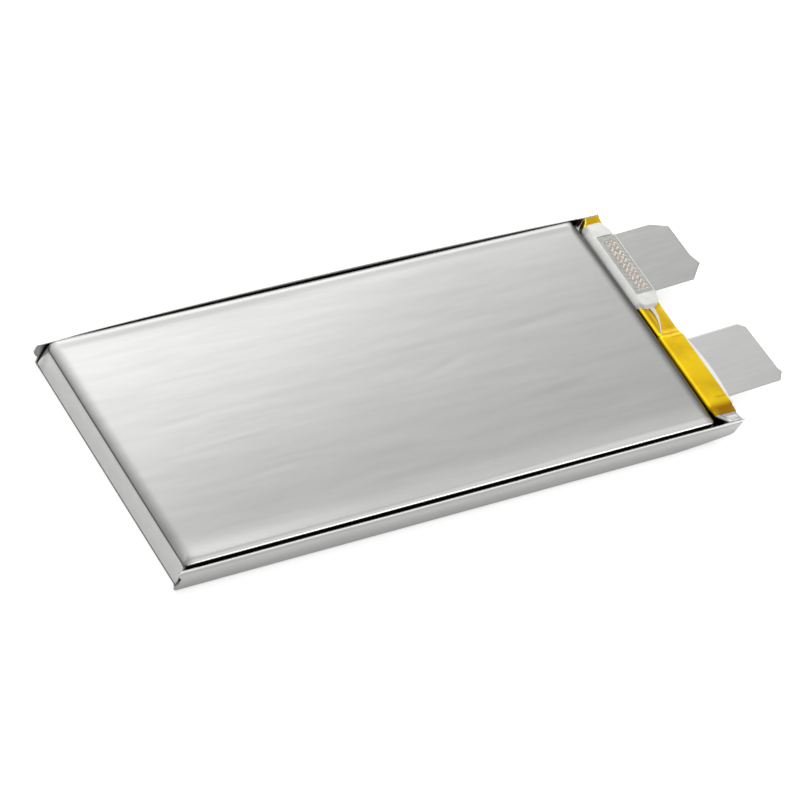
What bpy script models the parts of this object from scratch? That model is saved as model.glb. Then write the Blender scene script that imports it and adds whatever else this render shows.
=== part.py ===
"""Lithium-ion pouch battery cell, lying flat with its tabs pointing along +X.

Layout before the origin is moved: X runs from the folded end of the pouch towards the tabs,
Y runs across the cell and Z up from the flat bottom face. An empty moves everything so that
the origin is the middle of the whole cell's footprint.
"""
import math

import bmesh
import bpy
from mathutils import Vector

MM = 0.001

# ---------------------------------------------------------------- driving dimensions
WIDTH = 72.0 * MM               # over the folded side seals
LENGTH = 170.0 * MM             # folded end to the end of the side seals
THICKNESS = 8.0 * MM            # flat body
FILM = 0.15 * MM                # aluminium laminated film
FILM_GAP = 0.03 * MM            # between layers that are bonded on the real cell

# pocket drawn into the film
POCKET_LENGTH = 161.4 * MM
POCKET_HALF_WIDTH = 34.7 * MM
POCKET_EDGE_RADIUS = 1.2 * MM

# folded side seals
WALL_TOP = 7.7 * MM
WALL_BEND_RADIUS = 0.3 * MM     # on the side that faces the body
WALL_END_LIFT = 1.7 * MM        # the seal's lower edge rises at the tab end
WALL_END_SLANT = 1.4 * MM
EAR_LENGTH = 2.0 * MM           # the top of each seal reaches past the folded end

# top seal: up behind the pocket, then out as a terrace
SEAL_BEND_START = 161.9 * MM
SEAL_BEND_RADIUS = 1.1 * MM
TERRACE_BEND_RADIUS = 0.4 * MM
TERRACE_UNDERSIDE = 6.9 * MM
TERRACE_END = 169.4 * MM
TERRACE_HALF_WIDTH = 33.2 * MM  # while it is still beside the pocket
TERRACE_WING = 35.3 * MM        # half width once the seal is clear of the pocket's corners
BEND_STEPS = 4

# tab leads
TAB_WIDTH = 20.0 * MM
TAB_THICKNESS = 0.2 * MM
TAB_OFFSET = 18.0 * MM          # tab centres to the cell's centre line
TAB_INNER_END = 157.2 * MM
TAB_TILT = math.radians(4.0)
TAB_TILT_START = 170.6 * MM
TAB_TILT_RADIUS = 3.0 * MM
NICKEL_TIP = 187.4 * MM
COPPER_TIP = 189.0 * MM
TAB_FILM = 0.06 * MM            # sealant film on each side of a tab
TAB_FILM_MARGIN = 2.0 * MM
TAB_FILM_START = 160.6 * MM
NEGATIVE_FILM_END = 170.4 * MM
POSITIVE_FILM_END = 169.8 * MM
SEAL_FLAT = 12.2 * MM           # half width of the step in the seal over each tab
SEAL_RAMP = 0.8 * MM            # the step comes down over this distance
WELD_FLAT = 10.4 * MM           # the same for the weld tape over the folded tab
WELD_RAMP = SEAL_FLAT - WELD_FLAT
FOLD_BACK_CENTRE = 169.9 * MM
FOLD_BACK_END = 163.6 * MM
NICKEL_START = 163.8 * MM

# tapes
TAPE = 0.06 * MM
TERRACE_TAPE_NEAR = -32.4 * MM
TERRACE_TAPE_FAR = 35.2 * MM
TERRACE_TAPE_DROP = 1.6 * MM    # reach down the side that faces the pocket
TERRACE_TAPE_RETURN = 3.0 * MM  # reach back under the terrace, beside the tabs
TERRACE_TAPE_CLEARANCE = 0.2 * MM
WELD_TAPE = 0.1 * MM
WELD_TAPE_NEAR = 3.7 * MM
WELD_TAPE_FAR = 32.6 * MM
WELD_TAPE_START = 162.8 * MM
WELD_TAPE_END = 169.9 * MM
WELD_TAPE_CORNER = 1.5 * MM

# electrode stack
CATHODE_COUNT = 19
ANODE_COUNT = CATHODE_COUNT + 1
CATHODE = 0.150 * MM
ANODE = 0.170 * MM
SEPARATOR = 0.020 * MM
SHEET_GAP = 0.005 * MM
SEPARATOR_START = 1.0 * MM
SEPARATOR_END = 153.5 * MM
SEPARATOR_HALF_WIDTH = 33.3 * MM
ANODE_INSET = 0.7 * MM          # separator edge to anode edge
CATHODE_INSET = 1.4 * MM
FOIL = 0.015 * MM
FOIL_PITCH = 0.020 * MM
FOIL_WIDTH = 18.0 * MM
FOIL_BEND_START = 153.9 * MM
FOIL_WELD_START = 157.4 * MM
FOIL_END = 160.4 * MM
FOIL_BEND_STEPS = 5
FOIL_TAPE = 0.04 * MM
FOIL_TAPE_OVERHANG = 2.0 * MM   # past each edge of the tab
FOIL_TAPE_LIFT_OFF = 0.2 * MM   # beside the gathered foils before it comes down
STACK_TAPE_WIDTH = 12.0 * MM
STACK_TAPE_LEG = 14.0 * MM
STACK_TAPE = 0.04 * MM
STACK_TAPE_CLEARANCE = 0.04 * MM
STACK_TAPE_PLACES = (38.0 * MM, 116.0 * MM)

# ---------------------------------------------------------------- derived dimensions
SEAL = 2 * FILM + FILM_GAP
TAB_LOW = FILM + FILM_GAP + TAB_FILM + FILM_GAP
TAB_HIGH = TAB_LOW + TAB_THICKNESS
SEAL_OVER_TAB = TAB_HIGH + FILM_GAP + TAB_FILM + FILM_GAP + FILM
WALL_INSIDE = WIDTH / 2 - SEAL
WALL_BEND_Y = WALL_INSIDE - WALL_BEND_RADIUS
WALL_BEND_Z = SEAL + WALL_BEND_RADIUS
TAPE_INSIDE = SEAL + FILM_GAP
FOLD_BACK_RADIUS = (SEAL_OVER_TAB + 4 * FILM_GAP + TAPE + TAB_HIGH - FILM_GAP) / 2
NICKEL_LEVEL = TERRACE_UNDERSIDE + 2 * FOLD_BACK_RADIUS - TAB_LOW + FILM_GAP
WELD_STACK = 2 * TAB_THICKNESS + 3 * FILM_GAP
PAIR_PITCH = CATHODE + ANODE + 2 * SEPARATOR + 4 * SHEET_GAP
STACK_HEIGHT = CATHODE_COUNT * PAIR_PITCH + ANODE + 2 * SEPARATOR + 2 * SHEET_GAP
STACK_BOTTOM = THICKNESS / 2 - STACK_HEIGHT / 2
FOIL_LEVEL = TAB_HIGH + FILM_GAP + FOIL / 2
ORIGIN_X = (COPPER_TIP - EAR_LENGTH) / 2


# ---------------------------------------------------------------- scene helpers
def clear_scene():
    for old in list(bpy.data.objects):
        bpy.data.objects.remove(old, do_unlink=True)
    for old in list(bpy.data.collections):
        bpy.data.collections.remove(old)


def make_material(name, colour, roughness, metallic):
    material = bpy.data.materials.new(name)
    material.use_nodes = True
    shader = material.node_tree.nodes["Principled BSDF"]
    shader.inputs["Base Color"].default_value = (*colour, 1.0)
    shader.inputs["Roughness"].default_value = roughness
    shader.inputs["Metallic"].default_value = metallic
    return material


def add_part(name, bm, material):
    """Turn a bmesh into a named object that hangs from the cell's empty."""
    mesh = bpy.data.meshes.new(name)
    bm.to_mesh(mesh)
    bm.free()
    mesh.materials.append(material)
    part = bpy.data.objects.new(name, mesh)
    part.parent = frame
    cell.objects.link(part)
    return part


def cut_at(bm, direction, places):
    """Cut edges into the mesh along planes across one axis, without removing anything."""
    for place in places:
        point = Vector(direction) * place
        geometry = bm.verts[:] + bm.edges[:] + bm.faces[:]
        bmesh.ops.bisect_plane(bm, geom=geometry, dist=1e-8, plane_co=point, plane_no=direction)


def near(value, target):
    return abs(value - target) < 1e-6


# ---------------------------------------------------------------- bent sheets
class BendPath:
    """A path in the XZ plane; every station has a place and the normal of the sheet there."""

    def __init__(self, x, z, normal_angle):
        self.stations = [(0.0, x, z, normal_angle)]

    def line(self, length):
        s, x, z, angle = self.stations[-1]
        # a sheet whose normal points up runs towards +X
        step_x = math.sin(angle) * length
        step_z = -math.cos(angle) * length
        self.stations.append((s + length, x + step_x, z + step_z, angle))
        return self

    def arc(self, radius, turn, steps=BEND_STEPS):
        """Bend by turn; positive bends towards the normal, about a centre radius away."""
        s, x, z, angle = self.stations[-1]
        side = math.copysign(1.0, turn)
        centre_x = x + side * math.cos(angle) * radius
        centre_z = z + side * math.sin(angle) * radius
        for step in range(1, steps + 1):
            here = angle + turn * step / steps
            place_x = centre_x - side * math.cos(here) * radius
            place_z = centre_z - side * math.sin(here) * radius
            self.stations.append((s + abs(turn) * radius * step / steps, place_x, place_z, here))
        return self

    def length(self):
        return self.stations[-1][0]

    def cuts(self):
        return [station[0] for station in self.stations[1:-1]]

    def place(self, s, offset):
        """The point at distance s along the path and offset along the sheet's normal."""
        for first, second in zip(self.stations, self.stations[1:]):
            if s <= second[0] + 1e-9:
                break
        share = (s - first[0]) / (second[0] - first[0])
        angle = first[3] + (second[3] - first[3]) * share
        x = first[1] + (second[1] - first[1]) * share + math.cos(angle) * offset
        z = first[2] + (second[2] - first[2]) * share + math.sin(angle) * offset
        return x, z


def bent_sheet(name, outline, path, low, thickness, material, lift=None, across=(), turned=False,
               side=1):
    """Stamp a flat blank, outline being (distance along, across) points, and bend it on a path.

    low is the blank's lower face above the path, and lift adds a height that depends on the
    place across. A turned sheet follows its path in the YZ plane, on the side named.
    """
    bm = bmesh.new()
    blank = bm.faces.new([bm.verts.new((s, across_path, low)) for s, across_path in outline])
    grown = bmesh.ops.extrude_face_region(bm, geom=[blank])
    top = [item for item in grown["geom"] if isinstance(item, bmesh.types.BMVert)]
    bmesh.ops.translate(bm, verts=top, vec=(0, 0, thickness))
    cut_at(bm, (1, 0, 0), path.cuts())
    cut_at(bm, (0, 1, 0), across)
    bmesh.ops.recalc_face_normals(bm, faces=bm.faces[:])
    for vert in bm.verts:
        s, across_path, offset = vert.co
        if lift:
            offset += lift(across_path)
        run, z = path.place(s, offset)
        vert.co = (across_path, side * run, z) if turned else (run, across_path, z)
    if turned and side > 0:
        # swapping two axes turned the blank inside out
        bmesh.ops.reverse_faces(bm, faces=bm.faces[:])
    return add_part(name, bm, material)


def strip_outline(start, end, y_low, y_high):
    return [(start, y_low), (end, y_low), (end, y_high), (start, y_high)]


def seal_path(start_x, end_x):
    """Outer face of the lower film through the top seal: along, up and out again."""
    rise = TERRACE_UNDERSIDE - SEAL_BEND_RADIUS - TERRACE_BEND_RADIUS
    path = BendPath(start_x, 0.0, math.pi / 2).line(SEAL_BEND_START - start_x)
    path.arc(SEAL_BEND_RADIUS, math.pi / 2)
    path.line(rise)
    path.arc(TERRACE_BEND_RADIUS, -math.pi / 2)
    path.line(end_x - path.stations[-1][1])
    return path


def over_tab(y, flat=SEAL_FLAT, ramp=SEAL_RAMP):
    """0 beside the tabs and 1 over them, with a ramp between."""
    distance = abs(abs(y) - TAB_OFFSET)
    return min(1.0, max(0.0, (flat + ramp - distance) / ramp))


def seal_step(y):
    return (SEAL_OVER_TAB - SEAL) * over_tab(y)


def seal_thickness(y):
    return SEAL + seal_step(y)


def ramp_places(reaches=(SEAL_FLAT, SEAL_FLAT + SEAL_RAMP)):
    """The y of the ends of every ramp, on both sides of both tabs."""
    beside = [TAB_OFFSET + way * reach for way in (-1, 1) for reach in reaches]
    return [way * place for way in (-1, 1) for place in beside]


# ---------------------------------------------------------------- pouch film
def side_profile(outer):
    """(y, z) points of a side seal from its bend to its top, for one of its two films."""
    radius = WALL_BEND_RADIUS + (SEAL if outer else 0.0)
    points = []
    for step in range(BEND_STEPS + 1):
        angle = math.pi / 2 * step / BEND_STEPS
        y = WALL_BEND_Y + radius * math.sin(angle)
        z = WALL_BEND_Z - radius * math.cos(angle)
        points.append((y, z))
    points.append((points[-1][0], WALL_TOP))
    return points[1:] if outer else points


def boundary_edges(bm, test):
    return [e for e in bm.edges if e.is_boundary and all(test(v.co) for v in e.verts)]


def extrude_to(bm, edges, place):
    """Extrude edges once, put each new point where place(old point) says, return the new edges."""
    grown = bmesh.ops.extrude_edge_only(bm, edges=edges)["geom"]
    moved = {item for item in grown if isinstance(item, bmesh.types.BMVert)}
    for vert in moved:
        vert.co = place(vert.co.copy())
    return [item for item in grown if isinstance(item, bmesh.types.BMEdge)
            and item.verts[0] in moved and item.verts[1] in moved]


def add_pocket(bm, lines):
    """A box without its bottom, with round top edges and round upright edges at the tab end."""
    bmesh.ops.create_cube(bm, size=1.0)
    height = THICKNESS - SEAL
    bmesh.ops.scale(bm, verts=bm.verts[:], vec=(POCKET_LENGTH, 2 * POCKET_HALF_WIDTH, height))
    bmesh.ops.translate(bm, verts=bm.verts[:], vec=(POCKET_LENGTH / 2, 0, SEAL + height / 2))
    bmesh.ops.delete(bm, geom=[f for f in bm.faces if f.normal.z < -0.5], context="FACES_ONLY")
    top = [e for e in bm.edges if all(near(v.co.z, THICKNESS) for v in e.verts)]
    upright = [e for e in bm.edges if not e.is_boundary and e not in top
               and all(near(v.co.x, POCKET_LENGTH) for v in e.verts)]
    bmesh.ops.bevel(bm, geom=top + upright, offset=POCKET_EDGE_RADIUS, segments=3,
                    profile=0.5, affect="EDGES")
    cut_at(bm, (0, 1, 0), lines)


def add_floor(bm, lines):
    """The flat bottom, with a point wherever the pocket's fold has one."""
    places = sorted(lines + [side * y for side in (-1, 1)
                             for y in (WALL_BEND_Y, POCKET_HALF_WIDTH)])
    chain = [bm.verts.new((0.0, y, 0.0)) for y in places]
    edges = [bm.edges.new(pair) for pair in zip(chain, chain[1:])]
    extrude_to(bm, edges, lambda co: Vector((SEAL_BEND_START, co.y, 0.0)))


def add_side_seal(bm, edges, side, outer):
    """Fold one side's flange up, then run the wall on past the pocket at both ends."""
    profile = side_profile(outer)
    for y, z in profile:
        edges = extrude_to(bm, edges, lambda co, y=y, z=z: Vector((co.x, side * y, z)))
    wall_y = side * profile[-1][0]
    foot_z = profile[-2][1]

    def on_wall(co):
        return near(co.y, wall_y) and co.z > foot_z - 1e-6

    def run_out(co):
        if near(co.z, WALL_TOP):
            return Vector((LENGTH, co.y, co.z))
        return Vector((LENGTH - WALL_END_SLANT, co.y, co.z + WALL_END_LIFT))

    end_x = max(v.co.x for v in bm.verts if on_wall(v.co))
    extrude_to(bm, boundary_edges(bm, lambda co: on_wall(co) and near(co.x, end_x)), run_out)
    for vert in bm.verts:
        if on_wall(vert.co) and near(vert.co.x, 0.0) and near(vert.co.z, WALL_TOP):
            vert.co.x = -EAR_LENGTH


def add_top_seal(bm, edges, stations, thickness_at):
    """Run one film of the top seal up behind the pocket and out to the terrace's edge."""
    upright = []
    for s, x, z, angle in stations:
        def place(co, x=x, z=z, angle=angle):
            lift = thickness_at(co.y)
            return Vector((x + math.cos(angle) * lift, co.y, z + math.sin(angle) * lift))

        edges = extrude_to(bm, edges, place)
        if z > SEAL_BEND_RADIUS - 1e-6:
            upright += {v for e in edges for v in e.verts}
    for side in (-1, 1):
        rim_verts = {v for v in upright if near(v.co.y, side * TERRACE_HALF_WIDTH)}
        rim = [e for e in bm.edges if e.verts[0] in rim_verts and e.verts[1] in rim_verts]
        extrude_to(bm, rim, lambda co: Vector((co.x, side * TERRACE_WING, co.z)))


def make_pouch(material):
    """One sheet of film: pocket, fold under the end face, flat bottom and folded seals."""
    bm = bmesh.new()
    lines = ramp_places() + [-TERRACE_HALF_WIDTH, TERRACE_HALF_WIDTH]
    add_pocket(bm, lines)
    add_floor(bm, lines)
    foot = boundary_edges(bm, lambda co: near(co.x, 0.0) and near(co.z, SEAL))
    extrude_to(bm, foot, lambda co: Vector((0.0, co.y, 0.0)))
    bmesh.ops.remove_doubles(bm, verts=bm.verts[:], dist=1e-6)

    for side in (-1, 1):
        flange = boundary_edges(bm, lambda co: near(co.y, side * POCKET_HALF_WIDTH)
                                and near(co.z, SEAL))
        add_side_seal(bm, flange, side, outer=False)
        flange = boundary_edges(bm, lambda co: near(co.y, side * WALL_BEND_Y)
                                and near(co.z, 0.0))
        add_side_seal(bm, flange, side, outer=True)
        fold = boundary_edges(bm, lambda co: co.x < 1e-6
                              and side * co.y > POCKET_HALF_WIDTH - 1e-6)
        fold = [e for e in fold if not near(abs(e.verts[0].co.z - e.verts[1].co.z), SEAL)]
        bmesh.ops.bridge_loops(bm, edges=fold)

    stations = seal_path(POCKET_LENGTH, TERRACE_END).stations[1:]
    pocket_end = boundary_edges(bm, lambda co: near(co.x, POCKET_LENGTH) and near(co.z, SEAL)
                                and abs(co.y) < TERRACE_HALF_WIDTH + 1e-6)
    for vert in {v for e in pocket_end for v in e.verts}:
        vert.co.z = seal_thickness(vert.co.y)
    add_top_seal(bm, pocket_end, stations, seal_thickness)
    floor_end = boundary_edges(bm, lambda co: near(co.x, SEAL_BEND_START) and near(co.z, 0.0)
                               and abs(co.y) < TERRACE_HALF_WIDTH + 1e-6)
    add_top_seal(bm, floor_end, stations[1:], lambda y: 0.0)

    bmesh.ops.recalc_face_normals(bm, faces=bm.faces[:])
    lowest = min(bm.faces, key=lambda f: f.calc_center_median().z)
    if lowest.normal.z > 0:
        bmesh.ops.reverse_faces(bm, faces=bm.faces[:])
    part = add_part("pouch_laminate", bm, material)
    shell = part.modifiers.new("film_thickness", "SOLIDIFY")
    shell.thickness = FILM
    shell.offset = -1.0
    shell.use_even_offset = True
    return part


# ---------------------------------------------------------------- tabs and their films
def tab_edges(centre):
    return centre - TAB_WIDTH / 2, centre + TAB_WIDTH / 2


def tilt_out(path, end_x, low):
    """Leave the terrace level, then tilt up until the tab's lower face reaches end_x."""
    path.arc(TAB_TILT_RADIUS, TAB_TILT, steps=2)
    run = end_x - path.stations[-1][1] + math.sin(TAB_TILT) * low
    return path.line(run / math.cos(TAB_TILT))


def make_negative_tab(material):
    """Nickel-plated copper strip, one piece from the foil weld to the tip."""
    path = tilt_out(seal_path(TAB_INNER_END, TAB_TILT_START), COPPER_TIP, TAB_LOW)
    tip = path.length()
    low, high = tab_edges(-TAB_OFFSET)
    outline = [(0.0, low), (tip - 2.0 * MM, low), (tip, low + 2.4 * MM),
               (tip - 0.5 * MM, low + 3.8 * MM), (tip - 1.0 * MM, high - 1.7 * MM),
               (tip - 2.9 * MM, high), (0.0, high)]
    bent_sheet("negative_tab", outline, path, TAB_LOW, TAB_THICKNESS, material)


def make_positive_tab(material):
    """Aluminium strip that leaves the seal and folds back flat over the terrace."""
    path = seal_path(TAB_INNER_END, FOLD_BACK_CENTRE)
    path.arc(FOLD_BACK_RADIUS, math.pi, steps=2 * BEND_STEPS)
    path.line(FOLD_BACK_CENTRE - FOLD_BACK_END)
    outline = strip_outline(0.0, path.length(), *tab_edges(TAB_OFFSET))
    bent_sheet("positive_tab", outline, path, TAB_LOW, TAB_THICKNESS, material)


def make_nickel_extension(material):
    """Nickel strip welded on the folded tab, with its corners cut off at the tip."""
    path = BendPath(NICKEL_START, NICKEL_LEVEL, math.pi / 2)
    path = tilt_out(path.line(TAB_TILT_START - NICKEL_START), NICKEL_TIP, 0.0)
    tip = path.length()
    low, high = tab_edges(TAB_OFFSET)
    outline = [(0.0, low), (tip - 4.8 * MM, low), (tip, low + 4.3 * MM),
               (tip - 1.1 * MM, low + 7.5 * MM), (tip - 1.3 * MM, high - 2.1 * MM),
               (tip - 6.2 * MM, high), (0.0, high)]
    bent_sheet("nickel_extension", outline, path, 0.0, TAB_THICKNESS, material)


def make_tab_films(pole, centre, end_x, material):
    """The two sealant films, one on each face of a tab where it passes the seal."""
    path = seal_path(TAB_FILM_START, end_x)
    low, high = tab_edges(centre)
    outline = strip_outline(0.0, path.length(), low - TAB_FILM_MARGIN, high + TAB_FILM_MARGIN)
    bent_sheet(f"{pole}_tab_film_lower", outline, path, FILM + FILM_GAP, TAB_FILM, material)
    bent_sheet(f"{pole}_tab_film_upper", outline, path, TAB_HIGH + FILM_GAP, TAB_FILM, material)


# ---------------------------------------------------------------- outer tapes
def make_terrace_tape(material):
    """Polyimide tape over the terrace; beside the tabs it wraps round the edge as well."""
    radius = TERRACE_BEND_RADIUS + TAPE_INSIDE
    bend_x = SEAL_BEND_START + SEAL_BEND_RADIUS + TERRACE_BEND_RADIUS
    bend_z = TERRACE_UNDERSIDE - TERRACE_BEND_RADIUS
    path = BendPath(bend_x - radius, bend_z - TERRACE_TAPE_DROP, math.pi)
    path.line(TERRACE_TAPE_DROP)
    path.arc(radius, -math.pi / 2)
    path.line(TERRACE_END + FILM_GAP - bend_x)
    rim = path.length()
    path.arc((TAPE_INSIDE + FILM_GAP) / 2, -math.pi)
    path.line(TERRACE_TAPE_RETURN)
    back = path.length()
    beside = TAB_OFFSET - SEAL_FLAT - SEAL_RAMP - TERRACE_TAPE_CLEARANCE
    past = TAB_OFFSET + SEAL_FLAT + SEAL_RAMP + TERRACE_TAPE_CLEARANCE
    outline = [(0.0, TERRACE_TAPE_NEAR), (rim, TERRACE_TAPE_NEAR), (rim, -beside),
               (back, -beside), (back, beside), (rim, beside), (rim, past), (back, past),
               (back, TERRACE_TAPE_FAR), (0.0, TERRACE_TAPE_FAR)]
    bent_sheet("terrace_tape", outline, path, 0.0, TAPE, material, lift=seal_step,
               across=ramp_places())


def rounded_outline(length, low, high, radius, steps=4):
    outline = []
    corners = ((radius, low + radius, math.pi), (length - radius, low + radius, 1.5 * math.pi),
               (length - radius, high - radius, 0.0), (radius, high - radius, math.pi / 2))
    for s, y, start in corners:
        for step in range(steps + 1):
            angle = start + math.pi / 2 * step / steps
            outline.append((s + radius * math.cos(angle), y + radius * math.sin(angle)))
    return outline


def make_positive_weld_tape(material):
    """Insulating tape over the weld between the folded aluminium tab and the nickel."""
    path = BendPath(WELD_TAPE_START, TERRACE_UNDERSIDE, math.pi / 2)
    path.line(WELD_TAPE_END - WELD_TAPE_START)
    outline = rounded_outline(path.length(), WELD_TAPE_NEAR, WELD_TAPE_FAR, WELD_TAPE_CORNER)

    def lift(y):
        return seal_step(y) + WELD_STACK * over_tab(y, WELD_FLAT, WELD_RAMP)

    ramps = ramp_places((WELD_FLAT, SEAL_FLAT, SEAL_FLAT + SEAL_RAMP))
    bent_sheet("positive_weld_tape", outline, path, TAPE_INSIDE + TAPE + FILM_GAP, WELD_TAPE,
               material, lift=lift, across=[y for y in ramps if y > 0])


# ---------------------------------------------------------------- electrode stack
def sheet_level(index):
    """Middle of electrode number index; even ones are anodes and odd ones cathodes."""
    level = STACK_BOTTOM + SEPARATOR + SHEET_GAP + ANODE / 2
    level += (index // 2) * PAIR_PITCH
    if index % 2:
        level += ANODE / 2 + 2 * SHEET_GAP + SEPARATOR + CATHODE / 2
    return level


def smooth_step(share):
    return share * share * (3 - 2 * share)


def make_electrode(name, level, thickness, inset, tab_y, foil_level, material):
    """A coated sheet with a bare foil tongue that comes down to the tab."""
    start = SEPARATOR_START + inset
    end = SEPARATOR_END - inset
    half = SEPARATOR_HALF_WIDTH - inset
    bm = bmesh.new()
    bmesh.ops.create_cube(bm, size=1.0)
    bmesh.ops.scale(bm, verts=bm.verts[:], vec=(end - start, 2 * half, thickness))
    bmesh.ops.translate(bm, verts=bm.verts[:], vec=((start + end) / 2, 0, level))
    cuts = [((0, y, 0), (0, 1, 0)) for y in (tab_y - FOIL_WIDTH / 2, tab_y + FOIL_WIDTH / 2)]
    cuts += [((0, 0, z), (0, 0, 1)) for z in (level - FOIL / 2, level + FOIL / 2)]
    for point, normal in cuts:
        faces = [f for f in bm.faces if f.normal.x > 0.9]
        parts = {item for f in faces for item in (f, *f.edges, *f.verts)}
        bmesh.ops.bisect_plane(bm, geom=list(parts), dist=1e-8, plane_co=point, plane_no=normal)
        bm.normal_update()
    middle = Vector((end, tab_y, level))
    foil = min((f for f in bm.faces if f.normal.x > 0.9),
               key=lambda f: (f.calc_center_median() - middle).length)
    stops = [(FOIL_BEND_START, level)]
    for step in range(1, FOIL_BEND_STEPS + 1):
        share = step / FOIL_BEND_STEPS
        x = FOIL_BEND_START + (FOIL_WELD_START - FOIL_BEND_START) * share
        stops.append((x, level + (foil_level - level) * smooth_step(share)))
    stops.append((FOIL_END, foil_level))
    here = (end, level)
    for stop in stops:
        foil = bmesh.ops.extrude_discrete_faces(bm, faces=[foil])["faces"][0]
        bmesh.ops.translate(bm, verts=foil.verts[:], vec=(stop[0] - here[0], 0, stop[1] - here[1]))
        here = stop
    add_part(name, bm, material)


def make_electrodes(anode_material, cathode_material):
    for index in range(ANODE_COUNT + CATHODE_COUNT):
        number = index // 2
        foil_level = FOIL_LEVEL + FOIL_PITCH * number
        if index % 2:
            make_electrode(f"cathode_{number + 1:02d}", sheet_level(index), CATHODE,
                           CATHODE_INSET, TAB_OFFSET, foil_level, cathode_material)
        else:
            make_electrode(f"anode_{number + 1:02d}", sheet_level(index), ANODE,
                           ANODE_INSET, -TAB_OFFSET, foil_level, anode_material)


def make_separator(material):
    """One web folded back and forth, so that a layer lies on both faces of every electrode."""
    reach = PAIR_PITCH / 4
    sheets = ANODE_COUNT + CATHODE_COUNT
    levels = [STACK_BOTTOM + SEPARATOR / 2]
    for index in range(sheets):
        thickness = CATHODE if index % 2 else ANODE
        levels.append(levels[-1] + thickness + 2 * SHEET_GAP + SEPARATOR)
    half = SEPARATOR_HALF_WIDTH - reach
    path = BendPath(-half, levels[0], math.pi / 2).line(2 * half)
    way = 1
    for low, high in zip(levels, levels[1:]):
        path.arc((high - low) / 2, way * math.pi)
        path.line(2 * half)
        way = -way
    outline = strip_outline(0.0, path.length(), SEPARATOR_START, SEPARATOR_END)
    bent_sheet("separator", outline, path, -SEPARATOR / 2, SEPARATOR, material, turned=True)


def make_stack_tapes(material):
    """Short tapes round the long edges that keep the stack square."""
    gap = STACK_TAPE_CLEARANCE
    top = STACK_BOTTOM + STACK_HEIGHT + gap
    number = 0
    for place in STACK_TAPE_PLACES:
        for side in (-1, 1):
            number += 1
            path = BendPath(SEPARATOR_HALF_WIDTH - STACK_TAPE_LEG, top, math.pi / 2)
            path.line(STACK_TAPE_LEG)
            path.arc(gap + SHEET_GAP, -math.pi / 2)
            path.line(STACK_HEIGHT - 2 * SHEET_GAP)
            path.arc(gap + SHEET_GAP, -math.pi / 2)
            path.line(STACK_TAPE_LEG)
            outline = strip_outline(0.0, path.length(), place - STACK_TAPE_WIDTH / 2,
                                    place + STACK_TAPE_WIDTH / 2)
            bent_sheet(f"stack_tape_{number}", outline, path, 0.0, STACK_TAPE, material,
                       turned=True, side=side)


def make_foil_tape(name, centre, foils, material):
    """Tape over the weld of the gathered foils, pressed down on the tab beside them."""
    pile = FOIL_PITCH * foils
    low, high = tab_edges(centre)
    inner = FOIL_WIDTH / 2 + FOIL_TAPE_LIFT_OFF
    ramp = 0.8 * MM

    def lift(y):
        return pile * min(1.0, max(0.0, (inner + ramp - abs(y - centre)) / ramp))

    start = FOIL_WELD_START + 0.1 * MM
    path = BendPath(start, TAB_HIGH + 2 * FILM_GAP, math.pi / 2)
    path.line(TAB_FILM_START - 0.1 * MM - start)
    outline = strip_outline(0.0, path.length(), low - FOIL_TAPE_OVERHANG, high + FOIL_TAPE_OVERHANG)
    across = [centre + way * reach for way in (-1, 1) for reach in (inner, inner + ramp)]
    bent_sheet(name, outline, path, 0.0, FOIL_TAPE, material, lift=lift, across=across)


# ---------------------------------------------------------------- the cell
clear_scene()
cell = bpy.data.collections.new("pouch_battery_cell")
bpy.context.scene.collection.children.link(cell)
frame = bpy.data.objects.new("cell_frame", None)
frame.location = (-ORIGIN_X, 0.0, 0.0)
cell.objects.link(frame)

laminate = make_material("laminate", (0.72, 0.72, 0.71), 0.28, 1.0)
aluminium = make_material("aluminium", (0.80, 0.80, 0.80), 0.35, 1.0)
nickel = make_material("nickel", (0.62, 0.62, 0.61), 0.38, 1.0)
plated_copper = make_material("plated_copper", (0.66, 0.66, 0.65), 0.34, 1.0)
tab_film = make_material("tab_film", (0.85, 0.85, 0.83), 0.45, 0.0)
polyimide = make_material("polyimide", (0.80, 0.52, 0.02), 0.25, 0.0)
white_tape = make_material("white_tape", (0.82, 0.82, 0.81), 0.35, 0.0)
anode_coat = make_material("anode_coat", (0.06, 0.06, 0.065), 0.75, 0.0)
cathode_coat = make_material("cathode_coat", (0.10, 0.10, 0.11), 0.65, 0.0)
separator_film = make_material("separator_film", (0.92, 0.92, 0.90), 0.5, 0.0)
green_tape = make_material("green_tape", (0.12, 0.42, 0.25), 0.35, 0.0)

make_pouch(laminate)
make_negative_tab(plated_copper)
make_positive_tab(aluminium)
make_nickel_extension(nickel)
make_tab_films("negative", -TAB_OFFSET, NEGATIVE_FILM_END, tab_film)
make_tab_films("positive", TAB_OFFSET, POSITIVE_FILM_END, tab_film)
make_terrace_tape(polyimide)
make_positive_weld_tape(white_tape)
make_electrodes(anode_coat, cathode_coat)
make_separator(separator_film)
make_stack_tapes(green_tape)
make_foil_tape("negative_foil_tape", -TAB_OFFSET, ANODE_COUNT, green_tape)
make_foil_tape("positive_foil_tape", TAB_OFFSET, CATHODE_COUNT, green_tape)
bpy.context.view_layer.update()
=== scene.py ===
"""Looks of a lithium-ion pouch battery cell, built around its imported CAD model.

Sizes and places are in millimetres in the cell's own layout: X runs from the folded end of
the pouch towards the tabs, Y across the cell and Z up from the flat bottom. to_world() turns
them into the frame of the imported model. Every visible film, tape and strip is a surface that
stands in for its CAD solid, with its creases, rolled edges and dents in the mesh. Where the
photo and the CAD differ, the surface follows the photo. The near side is the one at -Y.
"""

import math

import bmesh
import bpy
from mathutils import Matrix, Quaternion, Vector, noise


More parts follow.
